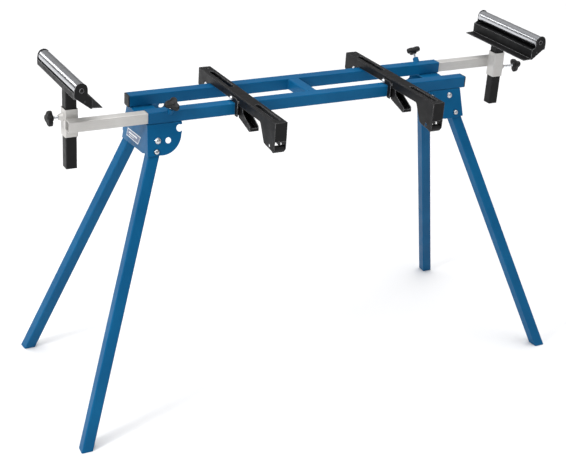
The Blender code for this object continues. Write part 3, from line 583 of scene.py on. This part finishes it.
# ---------------------------------------------------------------- rollers and their holders
def make_roller(side):
    """The roller's steel tube, with chamfered rims, turned finely enough to read as round."""
    name = f"roller_{side}"
    place = joint_place(f"roller_{side}_spin")
    points = corners_in(name, place)
    radius = max(point.xy.length for point in points)
    inner = min(point.xy.length for point in points)
    half = max(point.z for point in points)
    profile = [
        (inner, -half),
        (radius - ROLLER_CHAMFER, -half),
        (radius, -half + ROLLER_CHAMFER),
        (radius, half - ROLLER_CHAMFER),
        (radius - ROLLER_CHAMFER, half),
        (inner, half),
    ]
    bm = bmesh.new()
    lathe(bm, place, profile, 128, loop=True)
    piece(f"turned_{name}", bm, name, "roller_steel", (name,))
    return name


def make_holder_fasteners(side):
    """Peened axle ends and a rivet on each end plate of the roller holder."""
    low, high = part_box(f"roller_axle_{side}")
    center_x, center_z = (low.x + high.x) / 2, (low.z + high.z) / 2
    holder_low, holder_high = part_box(f"roller_holder_{side}")
    inward = 1 if side == "left" else -1
    collar = [(AXLE_COLLAR_RADIUS, -0.0004), (AXLE_COLLAR_RADIUS, 0.0003)]
    axle_end = collar + dome(AXLE_DOME_RADIUS, 0.0003, 0.0009)
    rivet = [(RIVET_RADIUS, -0.0004)] + dome(RIVET_RADIUS, 0.0001, 0.0009)
    bm = bmesh.new()
    for face, outward in ((holder_low.y, -1), (holder_high.y, 1)):
        place = axis_place((center_x, face, center_z), (0, outward, 0))
        lathe(bm, place, axle_end, 36)
        spot = (center_x + inward * RIVET_INWARD, face, center_z - RIVET_DROP)
        place = axis_place(spot, (0, outward, 0))
        lathe(bm, place, rivet, 24)
    piece(f"holder_rivets_{side}", bm, f"post_{side}", "black_paint")


# ---------------------------------------------------------------- bolts
def make_pivot_bolt(leg):
    """A leg's bolt: flanged dome head with a cross recess, and a hexagon nut inside the leg bracket."""
    name = f"pivot_bolt_{leg}"
    place = joint_place(f"leg_{leg}_fold", outward_z=True)
    points = corners_in(name, place)
    low = min(point.z for point in points)
    high = max(point.z for point in points)
    head = max(point.xy.length for point in points if point.z > 0)
    nut_radius = max(point.xy.length for point in points if point.z < 0)
    shank = min(point.xy.length for point in points if abs(point.z) < 0.004)
    bm = bmesh.new()
    rim = [(shank, -0.004), (shank, 0.0003), (head, 0.0003), (head, 0.0012), (head * 0.93, 0.0017)]
    crown = dome(head * 0.80, 0.0018, high - 0.0020)[:-2]
    lathe(bm, place, rim + crown, 48)
    recess = [
        (0.0032, high - 0.0004),
        (0.0030, high + 0.0001),
        (0.0024, high - 0.0016),
        (0.0006, high - 0.0022),
    ]
    lathe(bm, place, recess, 48, cross_recess)
    lathe(bm, place, [(shank, low), (shank, -0.003)], 32)
    nut_face = low + PIVOT_NUT_HEIGHT
    nut = [(nut_radius * 0.94, low + 0.0006), (nut_radius, low + 0.0012), (nut_radius, nut_face)]
    lathe(bm, place, nut, 48, hexagon)
    piece(f"headed_{name}", bm, "frame", "zinc", (name,))
    return name


def make_clamp_bolt(side):
    """The jaw's cross bolt: hexagon head on the left, lock nut on the right, a washer under each."""
    name = f"clamp_bolt_{side}"
    low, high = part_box(name)
    center = (low + high) / 2
    half = (high.x - low.x) / 2
    reach = (high.z - low.z) / 2
    place = axis_place(center, (1, 0, 0))
    seat = half - CLAMP_HEAD_HEIGHT
    bm = bmesh.new()
    lathe(bm, place, [(CLAMP_BOLT_RADIUS, -seat), (CLAMP_BOLT_RADIUS, seat)], 32)
    for end in (-1, 1):
        washer = [(reach * 1.02, end * (seat - 0.0001)), (reach * 1.02, end * (seat + 0.0007))]
        lathe(bm, place, washer, 40)
        flank = [(reach * 0.96, end * (seat + 0.0007)), (reach * 0.96, end * (half - 0.0009))]
        lathe(bm, place, flank + [(reach * 0.84, end * half)], 48, hexagon)
    flank = [(CLAMP_BOLT_RADIUS, half - 0.001), (CLAMP_BOLT_RADIUS, half + 0.0012)]
    lathe(bm, place, flank + [(0.0022, half + 0.0018)], 28)
    piece(f"hexagon_{name}", bm, f"saw_bracket_{side}", "zinc", (name,))
    return name


def make_rear_bolt(side):
    """The bolt behind the rear rail that closes the saw bracket's rear end round it."""
    low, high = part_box(f"saw_bracket_{side}")
    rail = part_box("rear_rail")
    center = ((low.x + high.x) / 2, rail[1].y + REAR_BOLT_BEHIND, rail[0].z + REAR_BOLT_UP)
    half = (high.x - low.x) / 2
    place = axis_place(center, (1, 0, 0))
    bm = bmesh.new()
    lathe(bm, place, [(REAR_BOLT_RADIUS, -half - 0.001), (REAR_BOLT_RADIUS, half + 0.001)], 28)
    for end in (-1, 1):
        rim = [(0.0052, end * (half + 0.0001)), (0.0052, end * (half + 0.0012))]
        crown = [(radius, end * height) for radius, height in dome(0.0050, half + 0.0014, 0.0020)]
        lathe(bm, place, rim + crown, 36)
    piece(f"rear_bolt_{side}", bm, f"saw_bracket_{side}", "zinc")


# ---------------------------------------------------------------- welds
def make_cross_member_welds():
    """A bead round each end of the cross member, where it meets a rail."""
    low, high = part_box("cross_member")
    bottom, top = low.z + WELD_END_INSET, high.z - WELD_END_INSET
    left, right = low.x + WELD_END_INSET, high.x - WELD_END_INSET
    bm = bmesh.new()
    for index, y in enumerate((low.y, high.y)):
        for x in (low.x, high.x):
            weld(bm, (x, y, bottom), (x, y, top), 0.0017, 10 + index)
        for z in (low.z + WELD_SINK, high.z - WELD_SINK):
            weld(bm, (left, y, z), (right, y, z), 0.0015, 20 + index)
    piece("cross_member_welds", bm, "frame", "blue_paint", sharp=70)


def make_bracket_welds(side):
    """Stitch welds between the rails' inner lower edges and the leg bracket's top."""
    low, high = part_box(f"leg_bracket_{side}")
    sign = -1 if side == "left" else 1
    outer = low.x if side == "left" else high.x
    bm = bmesh.new()
    seed = 30
    for rail, outward in (("front_rail", -1), ("rear_rail", 1)):
        rail_low, rail_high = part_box(rail)
        y = (rail_high.y if outward < 0 else rail_low.y) - outward * 0.0004
        z = rail_low.z - 0.0001
        for start in STITCH_STARTS:
            seed += 1
            x = outer - sign * start
            weld(bm, (x, y, z), (x - sign * STITCH_LENGTH, y, z), 0.0015, seed)
    piece(f"leg_bracket_welds_{side}", bm, "frame", "blue_paint", sharp=70)


def make_nut_weld(side):
    """A ring of weld round the foot of the arm clamp's threaded boss."""
    low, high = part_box("front_rail" if side == "left" else "rear_rail")
    place = joint_place(f"arm_clamp_knob_{side}_turn")
    outward = -1 if side == "left" else 1
    edge_y = low.y if side == "left" else high.y
    rng = random.Random(7)
    bm = bmesh.new()
    for i in range(NUT_WELD_BEADS):
        angle = 2 * math.pi * i / NUT_WELD_BEADS
        spot = place @ Vector((NUT_WELD_RING * math.cos(angle), NUT_WELD_RING * math.sin(angle), 0.0))
        top_drop = max(0.0, (spot.y - edge_y) * outward)
        spot.y = edge_y if top_drop > 0 else spot.y
        spot.z = high.z - 0.0003 if top_drop == 0 else min(spot.z, high.z - 0.0015)
        size = NUT_WELD_BEAD * rng.uniform(0.85, 1.15)
        bmesh.ops.create_icosphere(bm, subdivisions=2, radius=size, matrix=Matrix.Translation(spot))
    piece(f"clamp_nut_weld_{side}", bm, "frame", "blue_paint", sharp=70)


def make_sleeve_welds(side):
    """Fillet welds between the arm's tip and the post's sleeve."""
    arm_low, arm_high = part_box(f"arm_{side}")
    sleeve_low, sleeve_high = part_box(f"sleeve_{side}")
    seam_y = arm_high.y if side == "left" else arm_low.y
    bm = bmesh.new()
    for index, z in enumerate((arm_low.z + 0.0004, arm_high.z - 0.0004)):
        start = (sleeve_low.x + 0.003, seam_y, z)
        end = (sleeve_high.x - 0.003, seam_y, z)
        weld(bm, start, end, 0.0014, 50 + index)
    inner_x = sleeve_high.x if side == "left" else sleeve_low.x
    weld(bm, (inner_x, seam_y, arm_low.z + 0.003), (inner_x, seam_y, arm_high.z - 0.003), 0.0014, 52)
    piece(f"sleeve_welds_{side}", bm, f"arm_{side}", "silver_paint", sharp=70)


# ---------------------------------------------------------------- label
def end_plate_face(node):
    """Centre and outward normal of the end plate's large outer face."""
    best = max(
        (polygon for polygon in nodes[node].data.polygons if polygon.normal.x < -0.9),
        key=lambda polygon: polygon.area,
    )
    return best.center.copy(), best.normal.copy()


def make_label():
    """A plain blue parallelogram with a pale border and two pale bars, on the left end plate."""
    center, normal = end_plate_face("leg_bracket_left")
    middle = rail_middle()

    def on_plate(y, z, lift):
        """The point of the plate's plane at y from the rails' middle and height z, lifted off it."""
        y += middle.y
        x = center.x - ((y - center.y) * normal.y + (z - center.z) * normal.z) / normal.x
        return Vector((x, y, z)) + normal * lift

    def inside(u, v):
        """The point at shares u along and v down the label, in y and z."""
        a, b, c, d = (Vector(point) for point in LABEL_OUTLINE)
        return a.lerp(b, u).lerp(d.lerp(c, u), v)

    def patch(name, u0, u1, v0, v1, lift, material):
        """A thin slab over the label's shares u0 to u1 and v0 to v1, raised by lift."""
        corners = [inside(u, v) for u, v in ((u0, v0), (u1, v0), (u1, v1), (u0, v1))]
        bm = bmesh.new()
        rings = []
        for level in (-0.0002, lift):
            rings.append([bm.verts.new(on_plate(point.x, point.y, level)) for point in corners])
        for i in range(4):
            j = (i + 1) % 4
            bm.faces.new((rings[0][i], rings[0][j], rings[1][j], rings[1][i]))
        bm.faces.new(rings[0][::-1])
        bm.faces.new(rings[1])
        piece(name, bm, "frame", "blue_paint", material=material, sharp=30)

    patch("label_border", 0.0, 1.0, 0.0, 1.0, 0.00025, LABEL_WHITE)
    patch("label_field", 0.025, 0.975, 0.10, 0.90, 0.00035, LABEL_BLUE)
    patch("label_bar_upper", 0.14, 0.80, 0.32, 0.50, 0.00042, LABEL_WHITE)
    patch("label_bar_lower", 0.20, 0.60, 0.64, 0.72, 0.00042, LABEL_WHITE)


# ---------------------------------------------------------------- studio
def make_floor():
    bm = bmesh.new()
    bmesh.ops.create_grid(bm, x_segments=2, y_segments=2, size=FLOOR_HALF)
    mesh = bpy.data.meshes.new("studio_floor")
    bm.to_mesh(mesh)
    bm.free()
    mesh.materials.append(floor_material())
    floor = bpy.data.objects.new("studio_floor", mesh)
    floor.location.z = -FLOOR_DROP
    bpy.context.scene.collection.objects.link(floor)


def make_world():
    """A white studio sky: bright overhead, darker near the horizon so that metal has contrast."""
    world = bpy.data.worlds.new("studio")
    bpy.context.scene.world = world
    world.use_nodes = True
    tree = world.node_tree
    background = tree.nodes["Background"]
    place = tree.nodes.new("ShaderNodeTexCoord")
    split = tree.nodes.new("ShaderNodeSeparateXYZ")
    ramp = tree.nodes.new("ShaderNodeValToRGB")
    tree.links.new(place.outputs["Generated"], split.inputs["Vector"])
    tree.links.new(split.outputs["Z"], ramp.inputs["Fac"])
    tree.links.new(ramp.outputs["Color"], background.inputs["Color"])
    for position, _ in SKY_STOPS[1:-1]:
        ramp.color_ramp.elements.new(position)
    for element, (position, value) in zip(ramp.color_ramp.elements, SKY_STOPS):
        element.position = position
        element.color = (value, value, value * 1.01, 1.0)
    background.inputs["Strength"].default_value = SKY_STRENGTH


def make_light(name, place, target, size, power):
    """A soft rectangle of light at place that faces target."""
    data = bpy.data.lights.new(name, "AREA")
    data.shape = "RECTANGLE"
    data.size, data.size_y = size
    data.energy = power
    light = bpy.data.objects.new(name, data)
    light.matrix_world = axis_place(place, Vector(place) - Vector(target))
    bpy.context.scene.collection.objects.link(light)


# ---------------------------------------------------------------- everything together
def main():
    make_camera()
    replaced = set()
    for side in SIDES:
        replaced |= {make_knob(label, side) for label in KNOB_BODIES}
        replaced |= {make_stud(label, side) for label in KNOB_BODIES}
        replaced.add(make_roller(side))
        make_holder_fasteners(side)
        replaced.add(make_clamp_bolt(side))
        make_rear_bolt(side)
        make_bracket_welds(side)
        make_nut_weld(side)
        make_sleeve_welds(side)
    replaced |= {make_pivot_bolt(leg) for leg in LEGS}
    for node in nodes:
        if node not in replaced:
            finish_node(node)
    make_cross_member_welds()
    make_label()
    make_floor()
    make_world()
    for name, light in LIGHTS.items():
        make_light(name, **light)
    bpy.context.scene.view_settings.view_transform = "Standard"


main()
